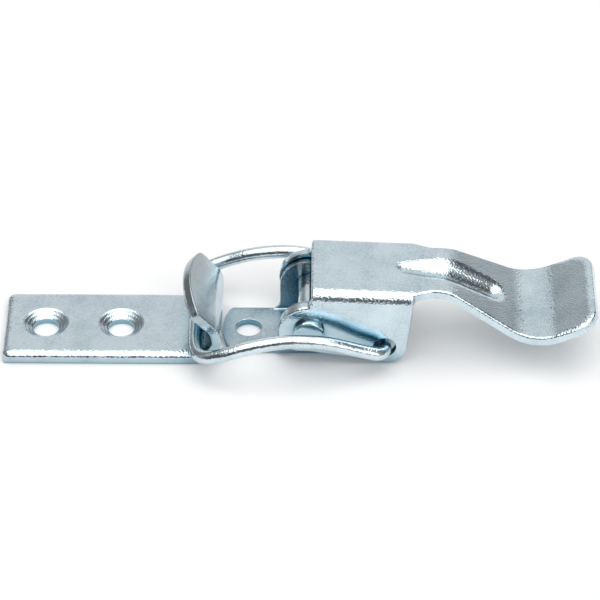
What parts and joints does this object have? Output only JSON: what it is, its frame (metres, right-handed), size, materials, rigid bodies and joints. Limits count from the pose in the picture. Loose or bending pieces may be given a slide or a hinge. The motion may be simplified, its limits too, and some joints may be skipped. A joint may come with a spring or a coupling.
{
  "type": "over centre toggle latch",
  "caption": "Folded sheet-metal toggle latch with a wire bail, a hooked catch plate and a ribbed lever that snaps past centre to pull a lid tight.",
  "frame": {"origin": "on the mounting plane, straight below the pivot axis, on the latch's middle plane", "axes": "+X from the pivot towards the thumb end of the lever, +Z away from the mounting plane, Y along the pivot; y = 0 is the plane of symmetry"},
  "size_m": [0.0994, 0.0274, 0.0149],
  "materials": {
    "zinc_sheet": "bright zinc plate with a pale blue passivation over satin pressed steel",
    "zinc_wire": "bright zinc plate over smooth drawn steel wire, glossier than the sheet"
  },
  "bodies": {
    "base": {"base_plate": "zinc_sheet", "strike_plate": "zinc_sheet", "pivot_rivet": "zinc_wire"},
    "lever": {"lever": "zinc_sheet"},
    "bail": {"wire_bail": "zinc_wire"}
  },
  "joints": [
    {"name": "lever_hinge", "type": "hinge", "parent": "base", "child": "lever", "pos_m": [0, 0, 0.00696], "axis": [0, -1, 0], "range_deg": [0, 105]},
    {"name": "bail_hinge", "type": "hinge", "parent": "lever", "child": "bail", "pos_m": [0.01261, 0, 0.00369], "axis": [0, -1, 0], "range_deg": [-75, 0]}
  ],
  "couplings": [
    {"joint": "bail_hinge", "follows": "lever_hinge", "ratio": -0.71}
  ]
}
